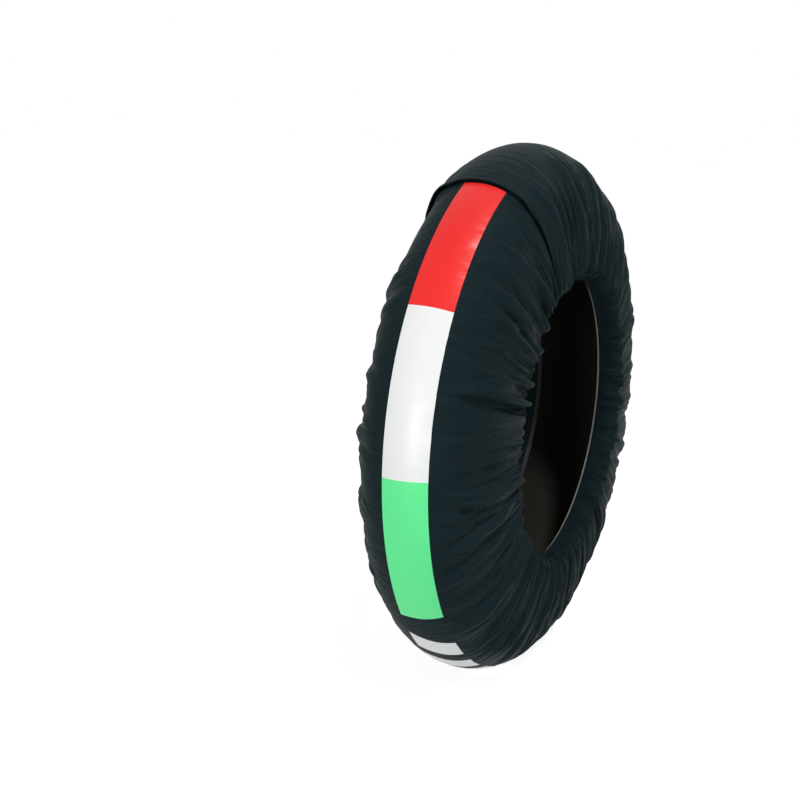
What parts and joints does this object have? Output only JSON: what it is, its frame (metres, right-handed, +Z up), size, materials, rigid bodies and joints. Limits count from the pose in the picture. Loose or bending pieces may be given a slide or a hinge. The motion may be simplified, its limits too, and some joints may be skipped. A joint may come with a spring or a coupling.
{
  "type": "motorcycle tyre warmer",
  "caption": "Padded heated ring of black cloth for a front motorcycle tyre, with gathered side skirts, a lapped closure and a three-colour crown stripe.",
  "frame": {"origin": "centre of the part's footprint, on the surface that it stands on", "axes": "+Z up, +Y along the ring's axis towards the face that the picture shows, +X towards the striped front of the crown"},
  "size_m": [0.624, 0.156, 0.6226],
  "materials": {
    "cover_nylon": "matte",
    "wadding": "matte",
    "carrier_cloth": "matte",
    "wire_sleeve": "matte",
    "cutout_case": "satin",
    "aramid_lining": "matte",
    "lead_sheath": "matte",
    "grommet_rubber": "matte",
    "hem_cord": "matte",
    "loop_pile": "matte",
    "hook_plastic": "matte",
    "film_red": "satin",
    "film_white": "satin",
    "film_green": "satin"
  },
  "bodies": {
    "root": {"outer_cover": "cover_nylon", "insulation_pad": "wadding", "heater_carrier": "carrier_cloth", "heating_wire": "wire_sleeve", "thermal_cutout": "cutout_case", "inner_lining": "aramid_lining", "internal_lead": "lead_sheath", "lead_gland": "grommet_rubber", "near_hem_cord": "hem_cord", "far_hem_cord": "hem_cord", "loop_tape": "loop_pile", "hook_tape": "hook_plastic", "stripe_red": "film_red", "stripe_white": "film_white", "stripe_green": "film_green", "crown_bar_1": "film_white", "crown_bar_2": "film_white", "crown_bar_3": "film_white", "crown_bar_4": "film_white", "crown_bar_5": "film_white", "crown_bar_6": "film_white", "crown_bar_7": "film_white", "crown_bar_8": "film_white", "crown_bar_9": "film_white", "crown_bar_10": "film_white", "crown_bar_11": "film_white"}
  },
  "joints": []
}
